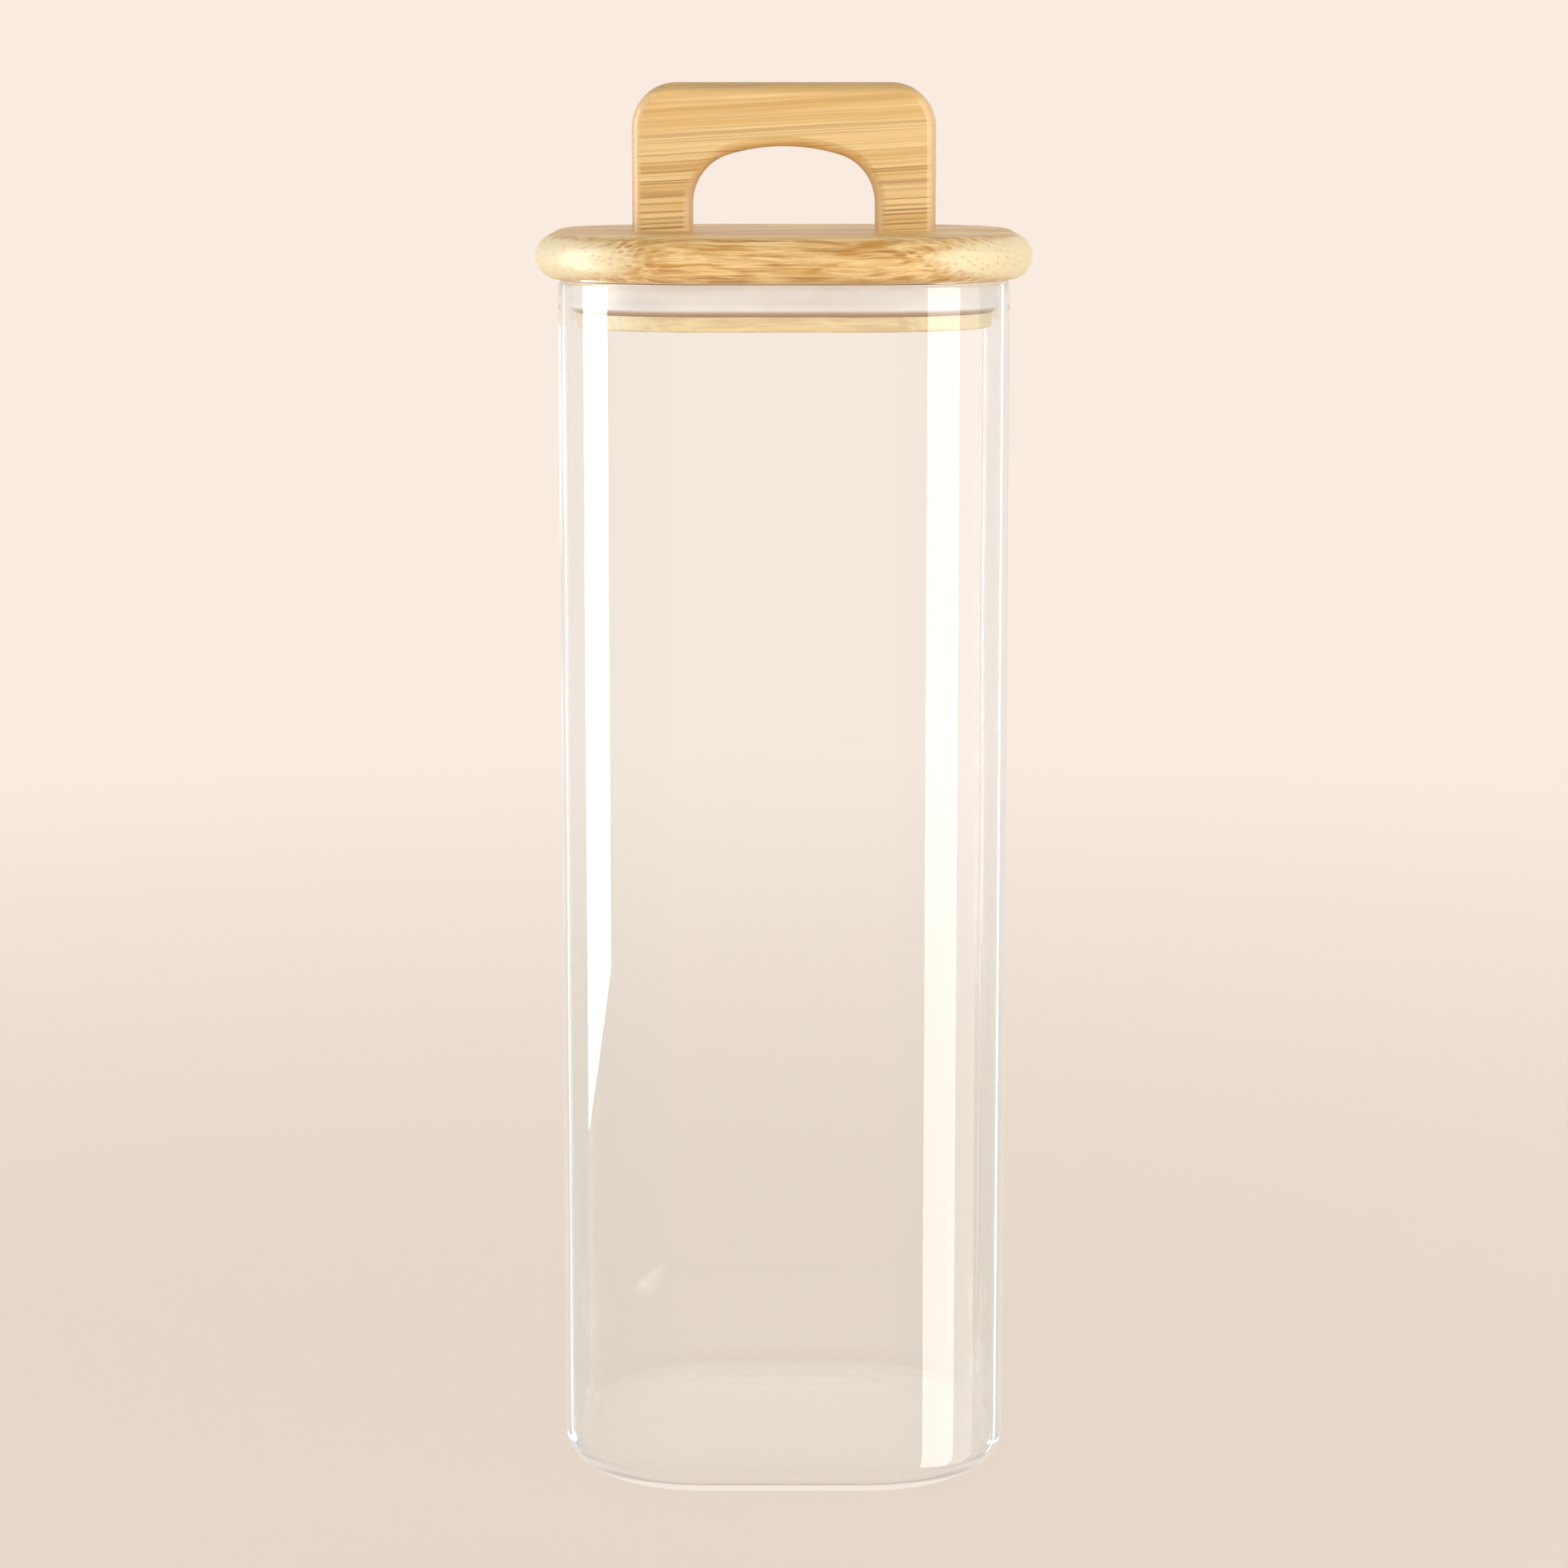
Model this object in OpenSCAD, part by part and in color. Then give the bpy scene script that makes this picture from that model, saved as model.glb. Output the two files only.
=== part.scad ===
// Lidded glass canister.
// A tall rounded-square glass jar is closed by a bamboo lid. The lid is one milled block: a board
// with a full round edge that rests on the rim, and a plug below it that a silicone ring seals.
// An arched bamboo handle stands on the board, held by two wood screws driven up through the lid.
// The origin is the centre of the jar's underside, +Z is up, and the handle's width lies along X.

/* [Jar] */
// Width of the jar across its flat sides
jar_w = 100; // [85:1:120]
// Height of the jar, from its underside to the top of its rim
jar_h = 270; // [150:1:350]
// Radius of the jar's upright corners, outside
jar_corner_r = 32; // [28:1:36]
// Thickness of the glass wall
wall_t = 2; // [1.8:0.1:3]
// Thickness of the glass base
floor_t = 3; // [2.5:0.1:8]
// Radius where the outside of the wall meets the underside
foot_r = 7.5; // [3:0.1:10]
// Radius where the inside of the wall meets the base
inner_foot_r = 5; // [2:0.1:7]

/* [Lid] */
// How far the board reaches past the jar on every side
overhang = 5; // [3:0.5:8]
// Thickness of the board, whose edge is a full half round
board_t = 10; // [8:0.5:14]
// Gap between the plug's flange and the glass
plug_gap = 2; // [1:0.1:2.5]
// Height of the groove that holds the seal
groove_h = 7; // [5:0.5:9]
// Depth of that groove, behind the flange's edge
groove_depth = 2; // [1:0.1:3]
// Thickness of the flange below the groove
flange_t = 3.5; // [2.5:0.1:5]

/* [Seal] */
// Gap between the seal's lips and the glass, where the real lips press lightly
lip_gap = 0.25; // [0.2:0.05:0.5]
// Radius of the seal's two soft lips
lip_r = 1.5; // [1:0.1:1.6]

/* [Handle] */
// Width of the handle
handle_w = 68; // [60:1:76]
// Height of the handle above the board
handle_h = 33; // [30:1:40]
// Thickness of the handle, front to back
handle_t = 14; // [12:0.5:16]
// Radius of the handle's upper corners
handle_corner_r = 10; // [6:0.5:12]
// Width of the finger opening
opening_w = 41; // [39:1:44]
// Height of the finger opening
opening_h = 18.8; // [17:0.1:20]
// Radius of the opening's upper corners
opening_corner_r = 14.5; // [10:0.5:15]
// Radius of the rounding along the handle's edges
edge_r = 2; // [1:0.1:3]

/* [Screws] */
// Diameter over the thread
screw_d = 4; // [3.5:0.1:4.5]
// Length of the screw, head included
screw_len = 35; // [32:1:38]
// Diameter of the countersunk head
head_d = 7.6; // [7:0.1:8]

/* [Hidden] */
$fn = 64;

// The jar, plug, seal and board are offsets of one rounded square, so they share its corner centres
straight = jar_w - 2 * jar_corner_r;
inner_r = jar_corner_r - wall_t;

// The board stands this far off the rim, because glass and wood never touch all the way round
seat_gap = 0.2;
board_r = jar_corner_r + overhang;
board_z = jar_h + seat_gap;
board_top = board_z + board_t;
flange_r = inner_r - plug_gap;
neck_r = flange_r - groove_depth;
flange_z = board_z - groove_h - flange_t;
flange_edge_r = 0.8;

// The seal's band fills the groove with a hair's breadth of room on each side
seal_room = 0.05;
lip_inset = 0.1;

// A leg's middle, where its screw stands
leg_x = (handle_w + opening_w) / 4;

// Screw details
head_h = 3.2;
hole_room = 0.2;
root_d = screw_d - 1.2;
pilot_d = root_d + 0.1;
thread_pitch = 1.8;
thread_len = 16;
tip_h = 3;
pilot_depth = screw_len - (board_top - flange_z) + 1;
recess_w = 1;
recess_depth = 1.6;
past = 1;

// Carries a section, drawn outwards from a corner's centre, once round the rounded square
module around_square() {
    for (turn = [0:3])
        rotate(90 * turn) translate([straight / 2, straight / 2, 0]) {
            rotate_extrude(angle = 90) children();
            rotate([90, 0, 0]) linear_extrude(straight) children();
        }
}

// Fills the square between the four corner centres, from height z up by h
module centre_fill(z, h) {
    translate([-straight / 2, -straight / 2, z]) cube([straight, straight, h]);
}

// Section of an upright block w wide and h high whose outer bottom edge is rounded to radius r
module footed_section(w, h, r) {
    square([w - r, h]);
    translate([0, r]) square([w, h - r]);
    translate([w - r, r]) circle(r);
}

// Section of the glass: base, wall and fire-polished rim
module jar_section() {
    rim_r = wall_t / 2;
    difference() {
        footed_section(jar_corner_r, jar_h - rim_r, foot_r);
        translate([0, floor_t]) footed_section(inner_r, jar_h, inner_foot_r);
    }
    translate([jar_corner_r - rim_r, jar_h - rim_r]) circle(rim_r);
}

module glass_jar() {
    color([0.86, 0.92, 0.90, 0.35]) {
        around_square() jar_section();
        centre_fill(0, floor_t);
    }
}

// Section of the lid: board with its half-round edge, neck inside the seal, and flange
module lid_section() {
    half_t = board_t / 2;
    translate([0, board_z]) square([board_r - half_t, board_t]);
    translate([board_r - half_t, board_z + half_t]) circle(half_t);
    translate([0, flange_z + flange_t - past]) square([neck_r, groove_h + 2 * past]);
    translate([0, flange_z]) square([flange_r - flange_edge_r, flange_t]);
    translate([0, flange_z + flange_edge_r]) square([flange_r, flange_t - flange_edge_r]);
    translate([flange_r - flange_edge_r, flange_z + flange_edge_r]) circle(flange_edge_r);
}

module lid() {
    color([0.91, 0.74, 0.48])
    difference() {
        union() {
            around_square() lid_section();
            centre_fill(flange_z, board_top - flange_z);
        }
        at_legs() translate([0, 0, flange_z]) {
            translate([0, 0, -past])
                cylinder(d = screw_d + 2 * hole_room, h = 2 * past + board_top - flange_z);
            cylinder(d1 = head_d + 2 * hole_room, d2 = screw_d + 2 * hole_room, h = head_h);
        }
    }
}

// Section of the seal: a band in the groove with two soft lips that face the glass
module seal_section() {
    seal_z = flange_z + flange_t + seal_room;
    seal_h = groove_h - 2 * seal_room;
    lip_x = inner_r - lip_gap - lip_r;
    translate([neck_r + seal_room, seal_z]) square([lip_x - neck_r - seal_room, seal_h]);
    for (lip_z = [seal_z + lip_r + lip_inset, seal_z + seal_h - lip_r - lip_inset])
        translate([lip_x, lip_z]) circle(lip_r);
}

module silicone_seal() {
    color([0.93, 0.90, 0.88, 0.8]) around_square() seal_section();
}

// Section of the handle's rim, drawn outwards from a corner's centre, with both edges rounded
module rim_section(reach) {
    inset = handle_t / 2 - edge_r;
    translate([0, -handle_t / 2]) square([reach - edge_r, handle_t]);
    translate([0, -inset]) square([reach, 2 * inset]);
    for (side = [-1, 1])
        translate([reach - edge_r, side * inset]) circle(edge_r);
}

// Section of the finger opening: it flares at both faces, which rounds the edges left around it
module opening_section(reach) {
    inset = handle_t / 2 - edge_r;
    translate([0, -handle_t / 2 - past]) square([reach, handle_t + 2 * past]);
    for (side = [0, 1])
        mirror([0, side]) difference() {
            translate([reach, inset]) square([edge_r, edge_r + past]);
            translate([reach + edge_r, inset]) circle(edge_r);
        }
}

// Carries a section round an arch that lies in the XY plane, with its legs reaching down by drop
module around_arch(w, h, r, drop) {
    for (side = [0, 1])
        mirror([side, 0, 0]) translate([w / 2 - r, h - r, 0]) {
            rotate_extrude(angle = 90) children();
            rotate([90, 0, 0]) linear_extrude(h - r + drop) children();
        }
    translate([r - w / 2, h - r, 0]) rotate([90, 0, 90]) linear_extrude(w - 2 * r) children();
}

// Fills the inside of such an arch, t thick
module arch_fill(w, h, r, drop, t) {
    translate([r - w / 2, -drop, -t / 2]) cube([w - 2 * r, h - r + drop, t]);
}

module handle() {
    color([0.89, 0.69, 0.41])
    translate([0, 0, board_top])
    difference() {
        rotate([90, 0, 0]) difference() {
            union() {
                around_arch(handle_w, handle_h, handle_corner_r, 0) rim_section(handle_corner_r);
                arch_fill(handle_w, handle_h, handle_corner_r, 0, handle_t);
            }
            around_arch(opening_w, opening_h, opening_corner_r, past) opening_section(opening_corner_r);
            arch_fill(opening_w, opening_h, opening_corner_r, past, handle_t + 2 * past);
        }
        at_legs() translate([0, 0, -past]) cylinder(d = pilot_d, h = pilot_depth + past);
    }
}

// Places its children under the middle of each of the handle's legs
module at_legs() {
    for (side = [-1, 1])
        translate([side * leg_x, 0, 0]) children();
}

// Half section of one screw, from its head up: cone, plain shank, thread ridges and point
module screw_section() {
    thread_z = screw_len - tip_h - thread_len;
    ridges = floor(thread_len / thread_pitch);
    polygon([[0, 0], [head_d / 2, 0], [screw_d / 2 - hole_room, head_h],
             [screw_d / 2 - hole_room, thread_z], [root_d / 2, thread_z],
             [root_d / 2, screw_len - tip_h], [0, screw_len]]);
    for (i = [0:ridges - 1])
        translate([0, thread_z + (i + 0.5) * thread_pitch])
            polygon([[root_d / 2 - 0.2, -0.6], [screw_d / 2, 0], [root_d / 2 - 0.2, 0.3]]);
}

module screw() {
    difference() {
        rotate_extrude() screw_section();
        for (turn = [0, 90])
            rotate(turn) translate([-head_d / 4, -recess_w / 2, -past])
                cube([head_d / 2, recess_w, recess_depth + past]);
    }
}

module handle_screws() {
    color([0.72, 0.72, 0.74])
    at_legs() translate([0, 0, flange_z]) screw();
}

glass_jar();
lid();
silicone_seal();
handle();
handle_screws();
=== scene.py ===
"""Looks of the lidded glass canister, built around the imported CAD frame.

Lengths are in metres, and angles in degrees."""
import math

import bmesh
import bpy
import numpy as np
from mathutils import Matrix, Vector, noise


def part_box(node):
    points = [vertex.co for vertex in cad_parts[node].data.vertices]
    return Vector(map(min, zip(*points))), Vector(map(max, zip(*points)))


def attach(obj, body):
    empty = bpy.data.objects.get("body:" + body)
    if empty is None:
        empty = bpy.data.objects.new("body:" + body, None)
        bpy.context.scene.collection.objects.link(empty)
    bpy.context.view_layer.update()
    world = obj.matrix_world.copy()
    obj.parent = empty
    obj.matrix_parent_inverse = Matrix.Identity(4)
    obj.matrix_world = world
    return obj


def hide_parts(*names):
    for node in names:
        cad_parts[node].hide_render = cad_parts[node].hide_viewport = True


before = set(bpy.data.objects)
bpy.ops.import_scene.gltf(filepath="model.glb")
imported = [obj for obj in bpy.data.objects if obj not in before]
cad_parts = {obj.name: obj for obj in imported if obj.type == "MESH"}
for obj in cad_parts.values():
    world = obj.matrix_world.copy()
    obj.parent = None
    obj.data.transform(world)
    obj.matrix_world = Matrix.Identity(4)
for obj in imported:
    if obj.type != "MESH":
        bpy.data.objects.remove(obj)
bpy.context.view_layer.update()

# ---------------------------------------------------------------- sizes, from the frame
MM = 0.001
jar_low, jar_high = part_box("glass_jar")
lid_low, lid_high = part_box("lid")
seal_low, seal_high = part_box("silicone_seal")
handle_low, handle_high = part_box("handle")
screws_low, screws_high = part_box("handle_screws")

JAR_HALF = jar_high.x
JAR_TOP = jar_high.z
CORNER_R = 32 * MM
CORNER_C = JAR_HALF - CORNER_R
WALL_T = 2 * MM
FLOOR_T = 3 * MM
FOOT_R = 7.5 * MM
INNER_FOOT_R = 5 * MM
INNER_R = CORNER_R - WALL_T
# The underside is hollowed by this much, out to this share of the way to the foot
PUNT = 0.7 * MM
PUNT_REACH = 0.88

BOARD_TOP = lid_high.z
BOARD_T = 10 * MM
BOARD_BASE = BOARD_TOP - BOARD_T
BOARD_R = lid_high.x - CORNER_C
FLANGE_BASE = lid_low.z
FLANGE_T = 3.5 * MM
FLANGE_EDGE_R = 0.8 * MM
PLUG_GAP = 2 * MM
GROOVE_DEPTH = 2 * MM
FLANGE_R = INNER_R - PLUG_GAP
NECK_R = FLANGE_R - GROOVE_DEPTH

HANDLE_T = handle_high.y - handle_low.y
HANDLE_W = handle_high.x - handle_low.x
HANDLE_H = handle_high.z - handle_low.z
HANDLE_CORNER_R = 10 * MM
OPENING_W = 41 * MM
OPENING_H = 18.8 * MM
OPENING_RISE = 12.8 * MM
SHOULDER_R = 11.5 * MM
# The edges' rounding turns through this angle only, which leaves a fine crease round each flat face
HANDLE_EDGE_R = 2.9 * MM
HANDLE_EDGE_TURN = 75
LEG_X = (HANDLE_W + OPENING_W) / 4

SCREW_D = 4 * MM
SCREW_HEAD_D = screws_high.y - screws_low.y
SCREW_HEAD_H = 3.2 * MM
SCREW_LEN = screws_high.z - screws_low.z
SCREW_ROOM = 0.2 * MM

# Steps along the handle's legs, corners and top, and round and along the rounded squares
LEG_STEPS = 14
CORNER_STEPS = 16
TOP_STEPS = 22
SQUARE_CORNER_STEPS = 22
SQUARE_SIDE_STEPS = 10
# An extra edge this far from a corner keeps the face beside it flat under smooth shading
SUPPORT = 0.25 * MM

# How many times light may turn inside the glass, and how quickly the grain wanders, per metre
MOST_TURNS = 3
WANDER_SCALE = 45.0


# ---------------------------------------------------------------- mesh helpers
def mesh_piece(name, vertices, faces, material, smooth=True):
    """A mesh object of those faces, smooth shaded, with its material."""
    mesh = bpy.data.meshes.new(name)
    mesh.from_pydata(vertices, [], faces)
    mesh.validate()
    mesh.polygons.foreach_set("use_smooth", [smooth] * len(mesh.polygons))
    mesh.materials.append(material)
    piece = bpy.data.objects.new(name, mesh)
    bpy.context.scene.collection.objects.link(piece)
    return piece


def rounded_square(half, radius):
    """Points (x, y) anticlockwise round a square of that half width with corners of that radius."""
    centre = half - radius
    points = []
    for turn in range(4):
        start = turn * math.pi / 2
        cx, cy = [(1, 1), (-1, 1), (-1, -1), (1, -1)][turn]
        for i in range(SQUARE_CORNER_STEPS + 1):
            a = start + i / SQUARE_CORNER_STEPS * math.pi / 2
            points.append((cx * centre + radius * math.cos(a), cy * centre + radius * math.sin(a)))
        nx, ny = [(-1, 1), (-1, -1), (1, -1), (1, 1)][turn]
        end = start + math.pi / 2
        first = Vector(points[-1])
        last = Vector((nx * centre + radius * math.cos(end), ny * centre + radius * math.sin(end)))
        points += [tuple(first.lerp(last, i / SQUARE_SIDE_STEPS)) for i in range(1, SQUARE_SIDE_STEPS)]
    return points


def loft(rings, closed=False):
    """Vertices and faces of a skin over rings of equally many points. Open ends are closed by a fan."""
    count = len(rings[0])
    vertices = [p for ring in rings for p in ring]
    faces = []
    pairs = [(i, i + 1) for i in range(len(rings) - 1)]
    if closed:
        pairs.append((len(rings) - 1, 0))
    for a, b in pairs:
        for j in range(count):
            k = (j + 1) % count
            faces.append((a * count + j, a * count + k, b * count + k, b * count + j))
    if not closed:
        for index, flip in ((0, True), (len(rings) - 1, False)):
            middle = sum((Vector(p) for p in rings[index]), Vector()) / count
            vertices.append(tuple(middle))
            for j in range(count):
                a, b = index * count + j, index * count + (j + 1) % count
                faces.append((b, a, len(vertices) - 1) if flip else (a, b, len(vertices) - 1))
    return vertices, faces


def ring_from_corner(reach, z):
    """A rounded square that shares the jar's corner centres, with corners of radius reach, at height z."""
    return [(x, y, z) for x, y in rounded_square(CORNER_C + reach, reach)]


def scaled_ring(reach, share, z):
    """The same ring shrunk about the axis to a share of its size, for the flat faces inside it."""
    return [(x * share, y * share, z) for x, y in rounded_square(CORNER_C + reach, reach)]


def arc(cx, cy, radius, start, end, steps):
    """Points from angle start to end round a centre, ends included."""
    return [
        (cx + radius * math.cos(math.radians(a)), cy + radius * math.sin(math.radians(a)))
        for a in np.linspace(start, end, steps + 1)
    ]


def spread(low, high, steps):
    """Evenly spaced values strictly between low and high."""
    return list(np.linspace(low, high, steps + 1)[1:-1])


def apply_modifiers(piece):
    """Turns the piece's modifiers into its mesh."""
    bpy.context.view_layer.update()
    evaluated = piece.evaluated_get(bpy.context.evaluated_depsgraph_get())
    made = bpy.data.meshes.new_from_object(evaluated)
    old = piece.data
    piece.modifiers.clear()
    piece.data = made
    bpy.data.meshes.remove(old)


def sharpen(piece, angle):
    """Keeps edges sharper than that angle crisp under smooth shading."""
    piece.data.set_sharp_from_angle(angle=math.radians(angle))


def face_outwards(piece):
    """Turns every face of a closed mesh outwards."""
    work = bmesh.new()
    work.from_mesh(piece.data)
    bmesh.ops.recalc_face_normals(work, faces=work.faces)
    work.to_mesh(piece.data)
    work.free()


# ---------------------------------------------------------------- material helpers
def new_material(name):
    """A node material with nothing in it but its output, as (material, nodes, link function)."""
    material = bpy.data.materials.new(name)
    material.use_nodes = True
    tree = material.node_tree
    tree.nodes.clear()
    return material, tree.nodes, tree.links.new


def add(nodes, kind, **values):
    """A node of that kind with its properties and numbered or named inputs set."""
    node = nodes.new(kind)
    for key, value in values.items():
        if key.startswith("in_"):
            name = key[3:]
            node.inputs[int(name) if name.isdigit() else name.replace("_", " ")].default_value = value
        else:
            setattr(node, key, value)
    return node


def grey(value):
    """A grey of that brightness."""
    return (value, value, value)


def srgb(r, g, b):
    """A linear colour from 8-bit display values."""
    return tuple(
        c / 12.92 if c <= 0.04045 else ((c + 0.055) / 1.055) ** 2.4 for c in (r / 255, g / 255, b / 255)
    )


def ramp(nodes, link, factor, stops, interpolation="LINEAR"):
    """The colour at a factor on a ramp of (position, colour) stops."""
    node = nodes.new("ShaderNodeValToRGB")
    node.color_ramp.interpolation = interpolation
    elements = node.color_ramp.elements
    while len(elements) > 1:
        elements.remove(elements[-1])
    elements[0].position, elements[0].color = stops[0][0], (*stops[0][1], 1)
    for position, colour in stops[1:]:
        elements.new(position).color = (*colour, 1)
    link(factor, node.inputs[0])
    return node.outputs[0]


def cloud(nodes, link, where, scale=1.0, detail=2.0, **values):
    """Noise from 0 to 1 at those coordinates."""
    node = add(nodes, "ShaderNodeTexNoise", in_Scale=scale, in_Detail=detail, **values)
    link(where, node.inputs["Vector"])
    return node.outputs["Fac"]


def mapped_range(nodes, link, value, **limits):
    """A value carried from one range to another, held at its ends."""
    node = add(nodes, "ShaderNodeMapRange", **limits)
    link(value, node.inputs["Value"])
    return node.outputs[0]


def mix_colour(nodes, link, factor, a, b, blend="MIX"):
    """Mixes two colours or sockets by a factor, which may be a number or a socket."""
    node = add(nodes, "ShaderNodeMix", data_type="RGBA", blend_type=blend)
    for socket, value in ((node.inputs[0], factor), (node.inputs[6], a), (node.inputs[7], b)):
        if isinstance(value, bpy.types.NodeSocket):
            link(value, socket)
        elif isinstance(value, (int, float)):
            socket.default_value = value
        else:
            socket.default_value = (*value, 1)
    return node.outputs[2]


def mix_shader(nodes, link, factor, a, b):
    """Shader a where the factor is 0, and b where it's 1."""
    node = add(nodes, "ShaderNodeMixShader")
    for socket, value in zip(node.inputs, (factor, a, b)):
        link(value, socket)
    return node.outputs[0]


def multiply(nodes, link, a, b):
    """The product of a socket and either a number or another socket."""
    node = add(nodes, "ShaderNodeMath", operation="MULTIPLY")
    link(a, node.inputs[0])
    if isinstance(b, bpy.types.NodeSocket):
        link(b, node.inputs[1])
    else:
        node.inputs[1].default_value = b
    return node.outputs[0]


def multiply_add(nodes, link, a, amount, b):
    """A number times socket a, plus socket b."""
    node = add(nodes, "ShaderNodeMath", operation="MULTIPLY_ADD", in_1=amount)
    link(a, node.inputs[0])
    link(b, node.inputs[2])
    return node.outputs[0]


def object_place(nodes):
    """Where a point lies on its object, in metres."""
    return add(nodes, "ShaderNodeTexCoord").outputs["Object"]


def one_axis(nodes, link, vector, axis):
    """One component of a vector socket."""
    node = add(nodes, "ShaderNodeSeparateXYZ")
    link(vector, node.inputs[0])
    return node.outputs[axis]


def relief(nodes, link, surface, height, strength, depth):
    """Fine relief of that depth on a surface, too small to be in its mesh."""
    bump = add(nodes, "ShaderNodeBump", in_Strength=strength, in_Distance=depth)
    link(height, bump.inputs["Height"])
    link(bump.outputs["Normal"], surface.inputs["Normal"])


def show(nodes, link, shader):
    """Makes a shader the material's surface."""
    link(shader, add(nodes, "ShaderNodeOutputMaterial").inputs["Surface"])


def mapped_place(nodes, link, scale, tilt=0.0, warp=0.0):
    """Object coordinates tilted and scaled, wandering by warp metres so that nothing runs dead straight."""
    where = object_place(nodes)
    if warp:
        wander = add(nodes, "ShaderNodeTexNoise", in_Scale=WANDER_SCALE, in_Detail=2.0)
        link(where, wander.inputs["Vector"])
        centred = add(nodes, "ShaderNodeVectorMath", operation="SUBTRACT", in_1=(0.5, 0.5, 0.5))
        link(wander.outputs["Color"], centred.inputs[0])
        sized = add(nodes, "ShaderNodeVectorMath", operation="SCALE", in_Scale=2 * warp)
        link(centred.outputs[0], sized.inputs[0])
        moved = add(nodes, "ShaderNodeVectorMath", operation="ADD")
        link(where, moved.inputs[0])
        link(sized.outputs[0], moved.inputs[1])
        where = moved.outputs[0]
    turned = add(nodes, "ShaderNodeMapping", in_Rotation=(0, math.radians(tilt), 0))
    link(where, turned.inputs["Vector"])
    scaled = add(nodes, "ShaderNodeVectorMath", operation="MULTIPLY", in_1=scale)
    link(turned.outputs[0], scaled.inputs[0])
    return scaled.outputs[0]


def facing_share(nodes, link, axis, start, full):
    """Runs from 0 to 1 as the surface turns to face along that axis, either way."""
    normal = add(nodes, "ShaderNodeNewGeometry").outputs["Normal"]
    along = add(nodes, "ShaderNodeMath", operation="ABSOLUTE")
    link(one_axis(nodes, link, normal, axis), along.inputs[0])
    return ramp(nodes, link, along.outputs[0], [(start, grey(0)), (full, grey(1))], "EASE")


def height_share(nodes, link, low, high):
    """Runs from 0 at height low to 1 at height high."""
    height = one_axis(nodes, link, object_place(nodes), "Z")
    return mapped_range(nodes, link, height, in_From_Min=low, in_From_Max=high)


# ---------------------------------------------------------------- materials
def glass_material():
    """Clear glass with a faint green-grey body tint. Lamps light what stands inside or behind it."""
    material, nodes, link = new_material("clear_glass")
    surface = add(nodes, "ShaderNodeBsdfPrincipled", in_IOR=1.47, in_Roughness=0.0)
    surface.inputs["Base Color"].default_value = (0.98, 0.99, 0.985, 1)
    surface.inputs["Transmission Weight"].default_value = 1.0
    # Slow ripples left by blowing, too shallow to see but enough to make reflections swim
    ripple = cloud(nodes, link, object_place(nodes), 22.0, 1.0)
    relief(nodes, link, surface, ripple, 0.12, 0.0006)
    clear = add(nodes, "ShaderNodeBsdfTransparent")
    clear.inputs["Color"].default_value = (0.985, 0.992, 0.99, 1)
    path = add(nodes, "ShaderNodeLightPath")
    # Light that has turned many times inside the foot leaves it, instead of dying out there
    trapped = add(nodes, "ShaderNodeMath", operation="GREATER_THAN", in_1=MOST_TURNS + 0.5)
    link(path.outputs["Glossy Depth"], trapped.inputs[0])
    passed = surface.outputs[0]
    for let_through in (trapped.outputs[0], path.outputs["Is Shadow Ray"], path.outputs["Is Diffuse Ray"]):
        passed = mix_shader(nodes, link, let_through, passed, clear.outputs[0])
    show(nodes, link, passed)
    return material


def bamboo_bundles(nodes, link, grain, tilt, warp):
    """Vascular bundles, darker than the wood round them: columns along the grain, of uneven strength."""
    bundle = add(nodes, "ShaderNodeTexVoronoi", in_Scale=1.0, in_Randomness=1.0)
    link(mapped_place(nodes, link, grain, tilt, warp), bundle.inputs["Vector"])
    core_stops = [(0.0, grey(1)), (0.25, grey(0.85)), (0.54, grey(0))]
    core = ramp(nodes, link, bundle.outputs["Distance"], core_stops, "EASE")
    strength_stops = [(0.3, grey(0.15)), (0.5, grey(0.6)), (0.68, grey(1))]
    strength = ramp(nodes, link, bundle.outputs["Color"], strength_stops)

    # Closer and wider bundles follow each other in broad bands through the wall of the cane
    band = cloud(nodes, link, mapped_place(nodes, link, (grain[0] / 2, 120, 260), tilt, warp))
    banded = ramp(nodes, link, band, [(0.32, grey(0.5)), (0.56, grey(1))], "EASE")
    return multiply(nodes, link, multiply(nodes, link, core, strength), banded)


def bamboo_veins(nodes, link, bundles, tilt, warp, strength):
    """Long thin lines that join the bundles on a face cut along the cane. The bundles are fainter there."""
    vein = cloud(nodes, link, mapped_place(nodes, link, (5, 60, 1750), tilt, warp))
    line = ramp(nodes, link, vein, [(0.53, grey(0)), (0.64, grey(strength))])
    either = add(nodes, "ShaderNodeMath", operation="MAXIMUM")
    link(multiply(nodes, link, bundles, 0.55), either.inputs[0])
    link(line, either.inputs[1])
    return either.outputs[0]


def tone_clouds(nodes, link, figure, tilt, warp):
    """Slow clouds of tone, drawn out into long bands on level faces, which are cut along the cane."""
    made = []
    for scale in (figure, (14, 260, 320)):
        where = mapped_place(nodes, link, scale, tilt, warp)
        made.append(cloud(nodes, link, where, detail=3.0, in_Distortion=0.6))
    return mix_colour(nodes, link, facing_share(nodes, link, "Z", 0.88, 0.99), made[0], made[1])


def painted_light_below(nodes, link, colour, end):
    """Below the board the wood is painted paler: painted light on the plug and flange, which sit inside the
    glass.
    """
    below = height_share(nodes, link, BOARD_BASE, BOARD_BASE - 2 * MM)
    return mix_colour(nodes, link, multiply(nodes, link, below, 0.55), colour, end)


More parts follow.
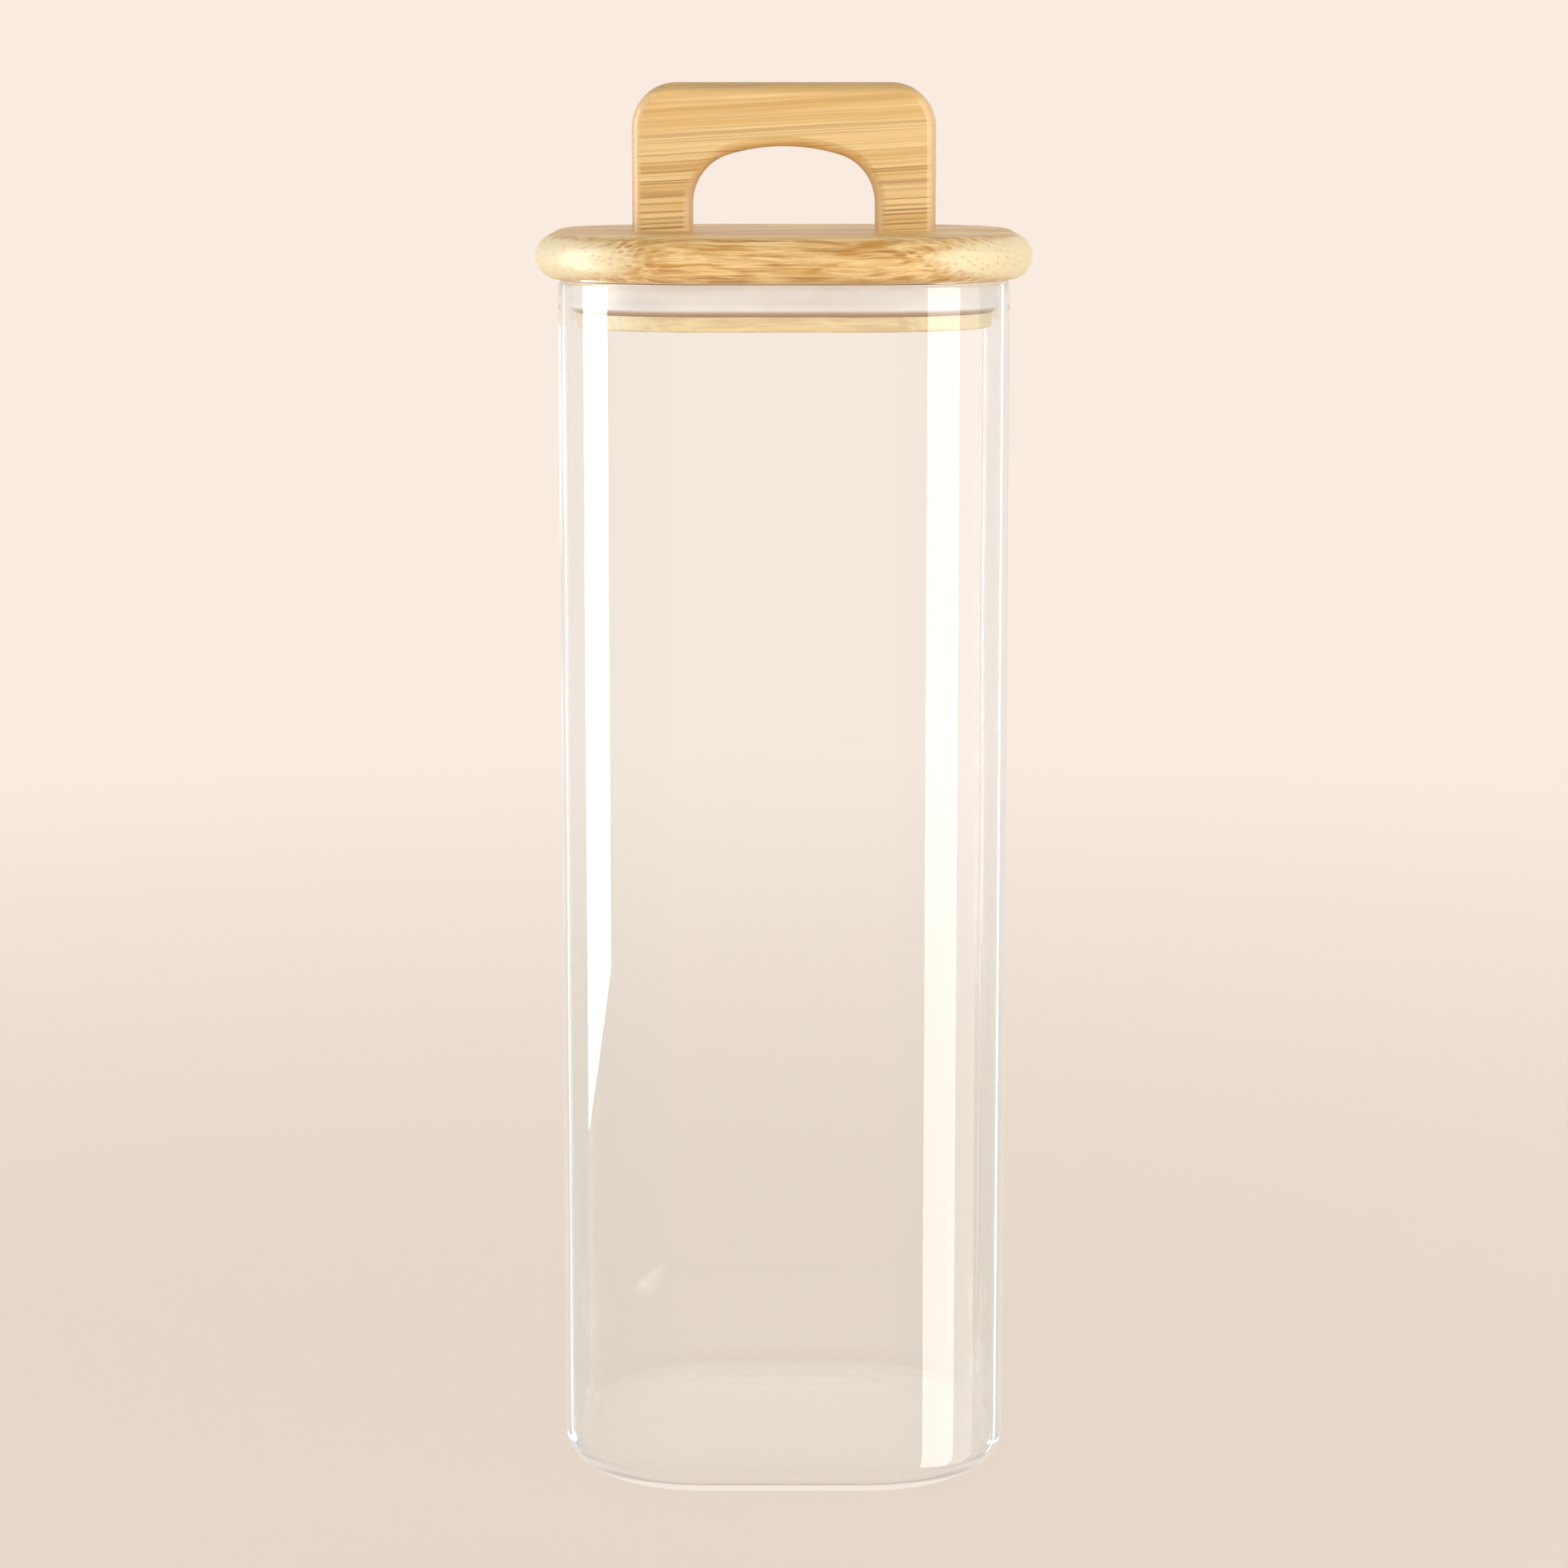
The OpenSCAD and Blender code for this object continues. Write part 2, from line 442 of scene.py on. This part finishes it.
def shaded_crown(nodes, link, colour, cloudy):
    """Painted shade: the handle's crown is darker and a little greyer, unevenly, as less light falls on it
    from above.
    """
    handle_top = BOARD_TOP + HANDLE_H
    crown = height_share(nodes, link, handle_top - 2.8 * MM, handle_top - 1.2 * MM)
    crown_shade_patches = mapped_range(nodes, link, cloudy, in_From_Min=0.35, in_From_Max=0.6,
                        in_To_Min=0.25, in_To_Max=0.75)
    return mix_colour(nodes, link, multiply(nodes, link, crown, crown_shade_patches), colour, srgb(168, 134, 92))


def oiled_finish(nodes, link, surface, marks, fibre, facing_end):
    """An oiled finish, laid thinly over fine relief. End grain drinks the oil and stays duller."""
    rough = mapped_range(nodes, link, fibre, in_To_Min=0.36, in_To_Max=0.56)
    link(multiply_add(nodes, link, facing_end, 0.2, rough), surface.inputs["Roughness"])
    surface.inputs["Specular IOR Level"].default_value = 0.4
    surface.inputs["Coat Weight"].default_value = 0.25
    surface.inputs["Coat Roughness"].default_value = 0.28
    relief(nodes, link, surface, multiply_add(nodes, link, marks, -0.6, fibre), 0.35, 0.00012)


def bamboo_material(name, pale, body, dark, end, tilt, grain, figure, warp, streaks, veins, density):
    """Bamboo with its fibres along X. The pattern is solid, so that it's streaks on long faces and specks
    on end grain.

    pale, body, dark and end are the colours of the pale and the main wood, the bundles and the end grain,
    whose paleness is partly painted light.
    tilt turns the grain about Y, and warp is how far it wanders. grain is how many bundles fit in a metre
    along X, Y and Z, and figure is the same for the clouds of tone. streaks is how dark the bundles are and
    veins how strong the lines between them are, or 0. density makes a socket that thins them out, or is
    None.
    """
    material, nodes, link = new_material(name)
    surface = add(nodes, "ShaderNodeBsdfPrincipled")
    marks = bamboo_bundles(nodes, link, grain, tilt, warp)
    if veins:
        marks = bamboo_veins(nodes, link, marks, tilt, warp, veins)

    # Fine fibres between the bundles, and slow clouds of tone
    thread = mapped_place(nodes, link, (24, 1500, 2600), tilt, warp)
    fibre = cloud(nodes, link, thread, detail=5.0, in_Roughness=0.62)
    cloudy = mix_colour(nodes, link, 0.6, fibre, tone_clouds(nodes, link, figure, tilt, warp))
    tone = ramp(nodes, link, cloudy, [(0.4, body), (0.58, pale)])
    amount = multiply(nodes, link, marks, streaks)
    if density:
        amount = multiply(nodes, link, amount, density(nodes, link))
    streaked = mix_colour(nodes, link, amount, tone, dark)

    # End grain is paler, partly its own tone and partly painted light from the lamps at the sides, with the
    # bundles' tips as small dots
    speckled = mix_colour(nodes, link, multiply(nodes, link, marks, 0.45), end, body)
    facing_end = facing_share(nodes, link, "X", 0.25, 0.6)
    coloured = mix_colour(nodes, link, facing_end, streaked, speckled)

    # Painted light: the wood is paler below the board
    with_light_below = painted_light_below(nodes, link, coloured, end)
    # Painted shade darkens the handle's crown
    link(shaded_crown(nodes, link, with_light_below, cloudy), surface.inputs["Base Color"])
    oiled_finish(nodes, link, surface, marks, fibre, facing_end)
    show(nodes, link, surface.outputs[0])
    return material


def handle_streak_density(nodes, link):
    """Bundles crowd towards the handle's feet, where the wood came from the outside of the cane."""
    share = height_share(nodes, link, BOARD_TOP + 0.15 * HANDLE_H, BOARD_TOP + 0.85 * HANDLE_H)
    return ramp(nodes, link, share, [(0.0, grey(1)), (0.5, grey(0.7)), (1.0, grey(0.3))])


def silicone_material():
    """Milky, slightly pink-grey silicone: soft satin, light carries a little way into it."""
    material, nodes, link = new_material("silicone")
    surface = add(nodes, "ShaderNodeBsdfPrincipled", in_Roughness=0.42)
    milky = cloud(nodes, link, mapped_place(nodes, link, (60, 60, 160)), detail=3.0)
    tone = ramp(nodes, link, milky, [(0.3, srgb(230, 224, 221)), (0.7, srgb(240, 236, 233))])
    # Painted shadow: the seal is darker and browner towards its undercut foot, where it meets the flange
    foot_shade = height_share(nodes, link, seal_low.z + 1.3 * MM, seal_low.z + 0.5 * MM)
    link(mix_colour(nodes, link, foot_shade, tone, srgb(186, 154, 126)), surface.inputs["Base Color"])
    surface.inputs["Subsurface Weight"].default_value = 0.35
    surface.inputs["Subsurface Radius"].default_value = (1.0, 0.8, 0.7)
    surface.inputs["Subsurface Scale"].default_value = 0.002
    surface.inputs["IOR"].default_value = 1.41
    relief(nodes, link, surface, cloud(nodes, link, object_place(nodes), 2500.0), 0.15, 0.00004)
    show(nodes, link, surface.outputs[0])
    return material


def steel_material():
    """Zinc-plated steel, finely mottled."""
    material, nodes, link = new_material("screw_steel")
    surface = add(nodes, "ShaderNodeBsdfPrincipled", in_Metallic=1.0)
    mottle = cloud(nodes, link, object_place(nodes), 900.0, 4.0)
    tone = ramp(nodes, link, mottle, [(0.3, (0.44, 0.45, 0.46)), (0.7, (0.66, 0.66, 0.67))])
    link(tone, surface.inputs["Base Color"])
    rough = mapped_range(nodes, link, mottle, in_To_Min=0.24, in_To_Max=0.44)
    link(rough, surface.inputs["Roughness"])
    relief(nodes, link, surface, mottle, 0.2, 0.00003)
    show(nodes, link, surface.outputs[0])
    return material


# ---------------------------------------------------------------- the jar
def uneven(x, y, z):
    """Moves a point of the inside wall a little in or out, because a blown wall is never quite even."""
    swell = 1 + 0.0016 * noise.noise(Vector((x * 30, y * 30, z * 22)))
    return (x * swell, y * swell, z)


def jar_rings():
    """Rings from the middle of the underside, out, up the wall, over the rim, and down inside to the base."""
    rings = []
    foot_reach = CORNER_R - FOOT_R
    for share in (0.15, 0.35, 0.55, 0.7, 0.8, PUNT_REACH, 0.94, 0.98):
        rise = PUNT * max(0.0, 1 - (share / PUNT_REACH) ** 2)
        rings.append(scaled_ring(foot_reach, share, rise))
    for reach, z in arc(foot_reach, FOOT_R, FOOT_R, -90, 0, 14):
        rings.append(ring_from_corner(reach, z))
    rim_r = WALL_T / 2
    rim_z = JAR_TOP - rim_r
    for z in spread(FOOT_R, rim_z, 64):
        rings.append(ring_from_corner(CORNER_R, z))
    for reach, z in arc(CORNER_R - rim_r, rim_z, rim_r, 0, 180, 14):
        rings.append(ring_from_corner(reach, z))
    inner_foot = FLOOR_T + INNER_FOOT_R
    for z in spread(rim_z, inner_foot, 64):
        rings.append([uneven(*point) for point in ring_from_corner(INNER_R, z)])
    inner_reach = INNER_R - INNER_FOOT_R
    for reach, z in arc(inner_reach, inner_foot, INNER_FOOT_R, 0, -90, 12):
        rings.append(ring_from_corner(reach, z))
    for share in (0.95, 0.85, 0.7, 0.5, 0.3, 0.12):
        rings.append(scaled_ring(inner_reach, share, FLOOR_T + 0.5 * PUNT * (1 - share ** 2)))
    return rings


def build_jar():
    """The glass as one skin, outside and in."""
    vertices, faces = loft(jar_rings())
    jar = mesh_piece("jar_glass", vertices, faces, glass_material())
    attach(jar, "jar")
    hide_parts("glass_jar")


# ---------------------------------------------------------------- the lid
def lid_rings():
    """Rings from the middle of the plug's underside, out round flange, groove and board edge, to the top."""
    half_t = BOARD_T / 2
    groove_base = FLANGE_BASE + FLANGE_T
    ease = 0.3 * MM
    edge_centre = BOARD_R - half_t
    flange_edge_centre = FLANGE_R - FLANGE_EDGE_R
    section = arc(flange_edge_centre, FLANGE_BASE + FLANGE_EDGE_R, FLANGE_EDGE_R, -90, 0, 6)
    section += arc(FLANGE_R - ease, groove_base - ease, ease, 0, 90, 4)
    section += [(NECK_R + SUPPORT, groove_base), (NECK_R, groove_base), (NECK_R, groove_base + SUPPORT)]
    section += [(NECK_R, BOARD_BASE - SUPPORT), (NECK_R, BOARD_BASE), (NECK_R + SUPPORT, BOARD_BASE)]
    section += [(edge_centre - 2 * SUPPORT, BOARD_BASE)]
    section += arc(edge_centre, BOARD_BASE + half_t, half_t, -90, 90, 28)
    section += [(edge_centre - 2 * SUPPORT, BOARD_TOP)]
    under = [scaled_ring(flange_edge_centre, share, FLANGE_BASE) for share in (0.2, 0.5, 0.8, 0.96, 0.99)]
    over = [scaled_ring(edge_centre, share, BOARD_TOP) for share in (0.98, 0.93, 0.8, 0.6, 0.4, 0.2)]
    return under + [ring_from_corner(reach, z) for reach, z in section] + over


def countersink_cutter(x):
    """A closed funnel that cuts one screw's clearance hole and countersink out of the lid."""
    head_r = SCREW_HEAD_D / 2 + SCREW_ROOM
    shank_r = SCREW_D / 2 + SCREW_ROOM
    profile = [(head_r + 0.1 * MM, -0.3 * MM), (head_r, 0), (shank_r, SCREW_HEAD_H), (shank_r, 30 * MM)]
    turns = np.linspace(0, 2 * math.pi, 48, endpoint=False)
    rings = [[(x + r * math.cos(a), r * math.sin(a), FLANGE_BASE + z) for a in turns] for r, z in profile]
    vertices, faces = loft(rings)
    return mesh_piece("cutter", vertices, faces, bpy.data.materials.new("cutter"))


def drill(piece, cutters):
    """Cuts the closed cutters out of a piece and deletes them."""
    for cutter in cutters:
        cut = piece.modifiers.new("cut", "BOOLEAN")
        cut.object = cutter
        cut.solver = "EXACT"
    apply_modifiers(piece)
    for cutter in cutters:
        bpy.data.objects.remove(cutter)


def build_lid():
    """Board, neck and flange as one block, drilled for the screws."""
    bamboo = bamboo_material("lid_bamboo", pale=srgb(243, 210, 146), body=srgb(198, 146, 66),
                             dark=srgb(158, 100, 28), end=srgb(240, 222, 178), tilt=0.0,
                             grain=(60, 1150, 1150), figure=(100, 420, 800), warp=1.3 * MM,
                             streaks=0.85, veins=0, density=None)
    vertices, faces = loft(lid_rings())
    lid = mesh_piece("lid_block", vertices, faces, bamboo)
    drill(lid, [countersink_cutter(side * LEG_X) for side in (-1, 1)])
    sharpen(lid, 40)
    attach(lid, "lid")
    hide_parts("lid")


# ---------------------------------------------------------------- the seal
def build_seal():
    """A ring in the groove with a thick band and two soft lips that reach for the glass."""
    low, high = seal_low.z, seal_high.z
    tall = high - low
    back = NECK_R + 0.05 * MM
    lip_reach = seal_high.x - CORNER_C
    middle = lip_reach - 0.45 * MM
    face = [
        (lip_reach - 1.1 * MM, low + 0.01 * tall), (lip_reach - 0.9 * MM, low + 0.07 * tall),
        (lip_reach - 0.25 * MM, low + 0.12 * tall), (lip_reach, low + 0.21 * tall),
        (lip_reach - 0.06 * MM, low + 0.32 * tall),
        (middle + 0.1 * MM, low + 0.42 * tall), (middle, low + 0.5 * tall),
        (middle + 0.1 * MM, low + 0.58 * tall),
        (lip_reach - 0.06 * MM, low + 0.68 * tall), (lip_reach, low + 0.8 * tall),
        (lip_reach - 0.12 * MM, low + 0.91 * tall), (lip_reach - 0.55 * MM, low + 0.98 * tall),
    ]
    inner_face = [(back, z) for z in np.linspace(high, low, 7)]
    roof = [(lip_reach - 1.2 * MM, high), (back + 0.5 * MM, high)]
    base = [(back + 0.5 * MM, low), (lip_reach - 1.6 * MM, low)]
    section = face + roof + inner_face + base
    vertices, faces = loft([ring_from_corner(reach, z) for reach, z in section], closed=True)
    seal = mesh_piece("seal_ring", vertices, faces, silicone_material())
    sharpen(seal, 50)
    smooth = seal.modifiers.new("smooth", "SUBSURF")
    smooth.levels = smooth.render_levels = 1
    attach(seal, "lid")
    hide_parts("silicone_seal")


# ---------------------------------------------------------------- the handle
def turned_arc(cx, cz, radius, start, end, steps):
    """Points (x, z) with outward normals along an arc from angle start to end, ends included."""
    made = []
    for a in np.linspace(math.radians(start), math.radians(end), steps + 1):
        c, s = math.cos(a), math.sin(a)
        made.append(((cx + radius * c, cz + radius * s), (c, s)))
    return made


def arch_curve(half, spring, left_corner, top):
    """An arch from its left foot to its right: leg, corner, top, and the same mirrored."""
    leg = [((-half, z), (-1, 0)) for z in np.linspace(0, spring, LEG_STEPS + 1)[:-1]]
    left = leg + left_corner
    right = [((-x, z), (-nx, nz)) for (x, z), (nx, nz) in reversed(left)]
    return left + top + right


def outer_curve():
    """The handle's outside: two rounded corners and a straight top."""
    half, spring = HANDLE_W / 2, HANDLE_H - HANDLE_CORNER_R
    corner = turned_arc(HANDLE_CORNER_R - half, spring, HANDLE_CORNER_R, 180, 90, CORNER_STEPS)
    reach = half - HANDLE_CORNER_R
    top = [((x, HANDLE_H), (0, 1)) for x in spread(-reach, reach, TOP_STEPS)]
    return arch_curve(half, spring, corner, top)


def inner_curve():
    """The finger opening: a three-centred arch, whose crown runs smoothly into two tighter shoulders."""
    half, spring = OPENING_W / 2, OPENING_H - OPENING_RISE
    shoulder_x = half - SHOULDER_R
    lift = OPENING_RISE - SHOULDER_R
    sink = (shoulder_x ** 2 - lift ** 2) / (2 * lift)
    half_angle = math.degrees(math.atan2(shoulder_x, sink))
    shoulder = turned_arc(-shoulder_x, spring, SHOULDER_R, 180, 90 + half_angle, CORNER_STEPS)
    crown = turned_arc(0, spring - sink, OPENING_RISE + sink, 90 + half_angle, 90 - half_angle, TOP_STEPS)
    return arch_curve(half, spring, shoulder, crown[1:-1])


def handle_ring(outer, inner):
    """One closed section of the arch, between a point of its outside and the matching point of its inside."""
    (ox, oz), (onx, onz) = outer
    (ix, iz), (inx, inz) = inner
    half_t = HANDLE_T / 2
    r = HANDLE_EDGE_R
    last_angle = math.radians(HANDLE_EDGE_TURN)
    centre_y = half_t - r * math.sin(last_angle)
    edge_depth = r - r * math.cos(last_angle)

    def outside(depth, y):
        return (ox - onx * depth, y, BOARD_TOP + oz - onz * depth)

    def inside(depth, y):
        return (ix + inx * depth, y, BOARD_TOP + iz + inz * depth)

    def round_edge(side, place, outwards):
        made = [place(r - r * math.cos(a), side * (centre_y + r * math.sin(a)))
                for a in np.linspace(0, last_angle, 8)]
        return made if outwards else made[::-1]

    def across(side, forward):
        start, end = Vector(outside(edge_depth, side * half_t)), Vector(inside(edge_depth, side * half_t))
        length = (end - start).length
        shares = [SUPPORT / length] + list(np.linspace(0, 1, 7)[1:-1]) + [1 - SUPPORT / length]
        made = [tuple(start.lerp(end, s)) for s in shares]
        return made if forward else made[::-1]

    flat = centre_y - SUPPORT
    first = [outside(0, -flat)]
    front = round_edge(-1, outside, True) + across(-1, True) + round_edge(-1, inside, False)
    middle_in = [inside(0, y) for y in (-flat, -flat / 3, flat / 3, flat)]
    back = round_edge(1, inside, True) + across(1, False) + round_edge(1, outside, False)
    middle_out = [outside(0, y) for y in (flat, flat / 3, -flat / 3)]
    return first + front + middle_in + back + middle_out


def build_handle():
    """The arch, a closed section carried from one foot to the other."""
    bamboo = bamboo_material("handle_bamboo", pale=srgb(245, 214, 152), body=srgb(226, 184, 110),
                             dark=srgb(142, 84, 26), end=srgb(226, 190, 136), tilt=3.2,
                             grain=(6, 1150, 1500), figure=(6, 90, 320), warp=0.3 * MM, streaks=0.85,
                             veins=0.75, density=handle_streak_density)
    rings = [handle_ring(o, i) for o, i in zip(outer_curve(), inner_curve())]
    vertices, faces = loft(rings)
    handle = mesh_piece("handle_arch", vertices, faces, bamboo)
    face_outwards(handle)
    sharpen(handle, 12.5)
    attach(handle, "lid")
    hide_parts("handle")


# ---------------------------------------------------------------- the screws
def screw_mesh(x):
    """A countersunk wood screw standing on its head: cone, shank, helical thread and point."""
    thread_depth = 0.6 * MM
    root_r = SCREW_D / 2 - thread_depth
    shank_r = SCREW_D / 2 - 0.2 * MM
    thread_len = 16 * MM
    tip = 3 * MM
    pitch = 1.8 * MM
    head_edge = 0.25 * MM
    thread_z = SCREW_LEN - tip - thread_len
    heights = [0, head_edge, SCREW_HEAD_H, thread_z] + spread(thread_z, SCREW_LEN - tip, 110)
    heights += [SCREW_LEN - tip + tip * s for s in (0, 0.4, 0.75, 0.97)]
    rings = []
    for z in heights:
        ring = []
        for a in np.linspace(0, 2 * math.pi, 32, endpoint=False):
            if z <= head_edge:
                r = SCREW_HEAD_D / 2
            elif z <= thread_z:
                r = shank_r
            elif z < SCREW_LEN - tip:
                turn = ((z - thread_z) / pitch - a / (2 * math.pi)) % 1.0
                r = root_r + thread_depth * max(0.0, 1 - abs(turn - 0.5) / 0.28)
            else:
                r = root_r * (1 - (z - SCREW_LEN + tip) / tip)
            ring.append((x + r * math.cos(a), r * math.sin(a), FLANGE_BASE + z))
        rings.append(ring)
    return loft(rings)


def recess_cutter(x):
    """A tapered cross that cuts the driver's recess into one screw's head."""
    bars = []
    for turn in (0, 90):
        c, s = math.cos(math.radians(turn)), math.sin(math.radians(turn))
        rings = []
        for z, length, width in ((-0.5 * MM, 2.0 * MM, 0.55 * MM), (1.6 * MM, 1.1 * MM, 0.3 * MM)):
            corners = [(length, width), (-length, width), (-length, -width), (length, -width)]
            rings.append([(x + u * c - v * s, u * s + v * c, FLANGE_BASE + z) for u, v in corners])
        vertices, faces = loft(rings)
        bars.append(mesh_piece("cutter", vertices, faces, bpy.data.materials.new("cutter"), smooth=False))
    return bars


def build_screws():
    """Both screws in one mesh, each with a cross recess cut into its head."""
    vertices, faces = [], []
    for side in (-1, 1):
        more, shapes = screw_mesh(side * LEG_X)
        faces += [tuple(i + len(vertices) for i in face) for face in shapes]
        vertices += more
    screws = mesh_piece("screws", vertices, faces, steel_material())
    drill(screws, [bar for side in (-1, 1) for bar in recess_cutter(side * LEG_X)])
    sharpen(screws, 35)
    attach(screws, "lid")
    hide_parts("handle_screws")


# ---------------------------------------------------------------- stage, lights and camera
WALL_COLOUR = srgb(250, 235, 224)
# Watts per square metre that give an area light a brightness of one
AREA_LIGHT_WATTS = math.pi


def build_floor():
    """A plain pale floor that fades into the wall's colour away from the object."""
    material, nodes, link = new_material("floor")
    surface = add(nodes, "ShaderNodeBsdfPrincipled", in_Roughness=0.7)
    surface.inputs["Base Color"].default_value = (*srgb(247, 234, 222), 1)
    surface.inputs["Specular IOR Level"].default_value = 0.0
    distance = add(nodes, "ShaderNodeVectorMath", operation="LENGTH")
    link(object_place(nodes), distance.inputs[0])
    fade = mapped_range(nodes, link, distance.outputs["Value"], interpolation_type="SMOOTHSTEP",
                        in_From_Min=0.1, in_From_Max=1.1, in_To_Min=0.3)
    distant = add(nodes, "ShaderNodeEmission", in_Strength=1.0)
    distant.inputs["Color"].default_value = (*WALL_COLOUR, 1)
    show(nodes, link, mix_shader(nodes, link, fade, surface.outputs[0], distant.outputs[0]))
    half = 8
    corners = [(-half, -half, 0), (half, -half, 0), (half, half, 0), (-half, half, 0)]
    floor = mesh_piece("floor", corners, [(0, 1, 2, 3)], material, smooth=False)
    # The glass and the wood mirror the room and not the floor
    floor.visible_glossy = False


def build_world():
    """A pale warm room, seen evenly by the camera. Its sides are cooler and darker, which draws the glass's
    edges, and less light comes from overhead than from the front."""
    world = bpy.data.worlds.new("studio")
    bpy.context.scene.world = world
    world.use_nodes = True
    nodes, link = world.node_tree.nodes, world.node_tree.links.new
    nodes.clear()
    seen = add(nodes, "ShaderNodeBackground", in_Strength=1.0)
    seen.inputs["Color"].default_value = (*WALL_COLOUR, 1)
    room = add(nodes, "ShaderNodeBackground", in_Strength=1.0)
    direction = add(nodes, "ShaderNodeTexCoord").outputs["Generated"]
    sideways = add(nodes, "ShaderNodeMath", operation="ABSOLUTE")
    link(one_axis(nodes, link, direction, "X"), sideways.inputs[0])
    tone = ramp(nodes, link, sideways.outputs[0], [(0.38, WALL_COLOUR), (0.58, srgb(203, 213, 214)),
                                                   (0.88, srgb(188, 200, 202)), (1.0, srgb(160, 174, 178))])
    upwards = one_axis(nodes, link, direction, "Z")
    above = ramp(nodes, link, upwards, [(0.3, grey(1)), (0.85, grey(0.5))], "EASE")
    link(mix_colour(nodes, link, 1.0, tone, above, "MULTIPLY"), room.inputs["Color"])
    by_camera = add(nodes, "ShaderNodeLightPath").outputs["Is Camera Ray"]
    both = mix_shader(nodes, link, by_camera, room.outputs[0], seen.outputs[0])
    link(both, add(nodes, "ShaderNodeOutputWorld").inputs["Surface"])


def soft_box(name, place, facing, width, height, power):
    """A rectangular area light that shines along the vector facing and isn't seen directly."""
    lamp = bpy.data.lights.new(name, "AREA")
    lamp.shape = "RECTANGLE"
    lamp.size, lamp.size_y = width, height
    lamp.energy = power
    light = bpy.data.objects.new(name, lamp)
    bpy.context.scene.collection.objects.link(light)
    light.location = place
    light.rotation_euler = Vector(facing).to_track_quat("-Z", "Y").to_euler()
    light.visible_camera = False
    light.visible_transmission = False
    light.visible_volume_scatter = False
    return light


def soft_light(name, place, aim, width, height, power):
    """A soft box that lights the canister without showing as a reflection."""
    light = soft_box(name, place, Vector(aim) - Vector(place), width, height, power)
    light.visible_glossy = False


def strip_light(name, start, end, low, high, brightness, slant=0.0):
    """An upright soft box over the line from start to end, which are (x, y) on the floor, that shows only
    as a reflection in what is glossy. Its lower edge is slant higher at start than at end."""
    start, end = Vector(start), Vector(end)
    run = start - end
    middle = (start + end) / 2
    facing = Vector((run.y, -run.x, 0))
    if facing.xy.dot(middle) > 0:
        facing.negate()
    power = brightness * AREA_LIGHT_WATTS * run.length * (high - low)
    light = soft_box(name, (*middle, (low + high) / 2), facing, run.length, high - low, power)
    light.visible_diffuse = False

    light.data.use_nodes = True
    tree = light.data.node_tree
    nodes, link = tree.nodes, tree.links.new
    nodes.clear()
    # Seen straight from a glossy surface, and not by light that has already been scattered
    direct = add(nodes, "ShaderNodeMath", operation="LESS_THAN", in_1=0.5)
    link(add(nodes, "ShaderNodeLightPath").outputs["Diffuse Depth"], direct.inputs[0])
    rise = run * (slant / run.length_squared)
    above = add(nodes, "ShaderNodeVectorMath", operation="DOT_PRODUCT", in_1=(-rise.x, -rise.y, 1))
    link(add(nodes, "ShaderNodeNewGeometry").outputs["Position"], above.inputs[0])
    kept = add(nodes, "ShaderNodeMath", operation="GREATER_THAN", in_1=low - rise.dot(end))
    link(above.outputs["Value"], kept.inputs[0])
    glow = add(nodes, "ShaderNodeEmission")
    link(multiply(nodes, link, direct.outputs[0], kept.outputs[0]), glow.inputs["Strength"])
    link(glow.outputs[0], add(nodes, "ShaderNodeOutputLight").inputs["Surface"])


def build_lights():
    """Soft boxes round the front and behind, and the strips that draw the glass's highlights and edges."""
    middle = (0, 0, 0.17)
    soft_light("left_light", (-1.8, -0.9, 0.85), middle, 1.2, 1.2, 5.5)
    soft_light("right_light", (1.8, -0.9, 0.85), middle, 1.2, 1.2, 10)
    soft_light("front_light", (-0.2, -1.6, 0.5), middle, 1.2, 0.8, 6)
    soft_light("back_light", (0.2, 0.9, 1.2), middle, 0.9, 0.9, 3.2)

    # The left strip's lower end is cut on a slant, so its reflection tapers to a point
    strip_light("left_strip", (-0.39, -0.101), (-0.39, 0.082), -0.01, 0.5, 13, slant=0.055)
    right_x = 0.85
    strip_light("right_strip", (right_x, -0.19), (right_x, -0.75), -0.6, 1.2, 6.5)
    strip_light("right_glow", (right_x, 0.13), (right_x, -0.19), -0.6, 1.2, 1.6)
    strip_light("right_edge", (0.75, 0.77), (0.69, 0.83), -0.6, 1.2, 3)
    strip_light("left_edge", (-0.70, 0.85), (-0.65, 0.885), -0.6, 1.2, 1.6)


def build_camera():
    """In front of the canister, just above its lid's height, looking slightly down."""
    camera = bpy.data.cameras.new("camera")
    camera.lens = 96.2
    camera.sensor_width = 36
    camera.shift_y = -0.04
    camera.clip_start = 0.01
    holder = bpy.data.objects.new("camera", camera)
    bpy.context.scene.collection.objects.link(holder)
    holder.location = (0, -0.95, 0.3095)
    holder.rotation_euler = (math.radians(90 - 8.45), 0, 0)
    bpy.context.scene.camera = holder


build_camera()
build_world()
build_lights()
build_floor()
build_jar()
build_lid()
build_seal()
build_handle()
build_screws()

bpy.context.scene.view_settings.view_transform = "Standard"
